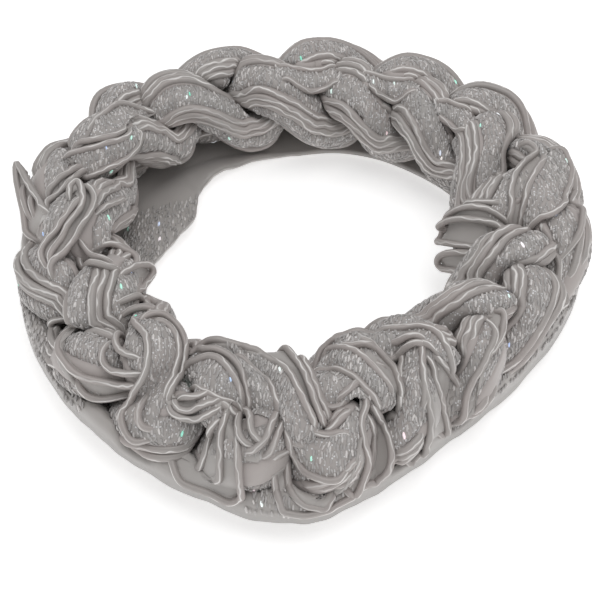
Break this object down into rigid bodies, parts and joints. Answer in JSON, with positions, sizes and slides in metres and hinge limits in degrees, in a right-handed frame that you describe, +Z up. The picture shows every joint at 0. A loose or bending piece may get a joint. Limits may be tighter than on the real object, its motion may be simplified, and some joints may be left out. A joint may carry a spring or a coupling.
{
  "type": "plaited hair tie",
  "caption": "Soft ring-shaped hair tie plaited from thick bundles of grey satin cord and knitted glitter tape on a gathered fabric band.",
  "frame": {"origin": "middle of the outline seen from above, on the surface that the tie rests on", "axes": "+Z up through the hair opening, +X to the right and +Y away from the viewer of the picture"},
  "size_m": [0.1208, 0.1192, 0.025],
  "materials": {
    "smooth_fabric": "smooth grey satin-backed fabric with rows of knitted glitter thread along its edges",
    "plait": "grey satin cord and knitted glitter tape",
    "satin_cord": "round satin cord with a narrow bright sheen",
    "glitter_tape": "knitted tape with iridescent glitter thread"
  },
  "bodies": {
    "root": {"base_band": "smooth_fabric", "strand_a": "plait", "strand_b": "plait", "strand_c": "plait"}
  },
  "joints": []
}
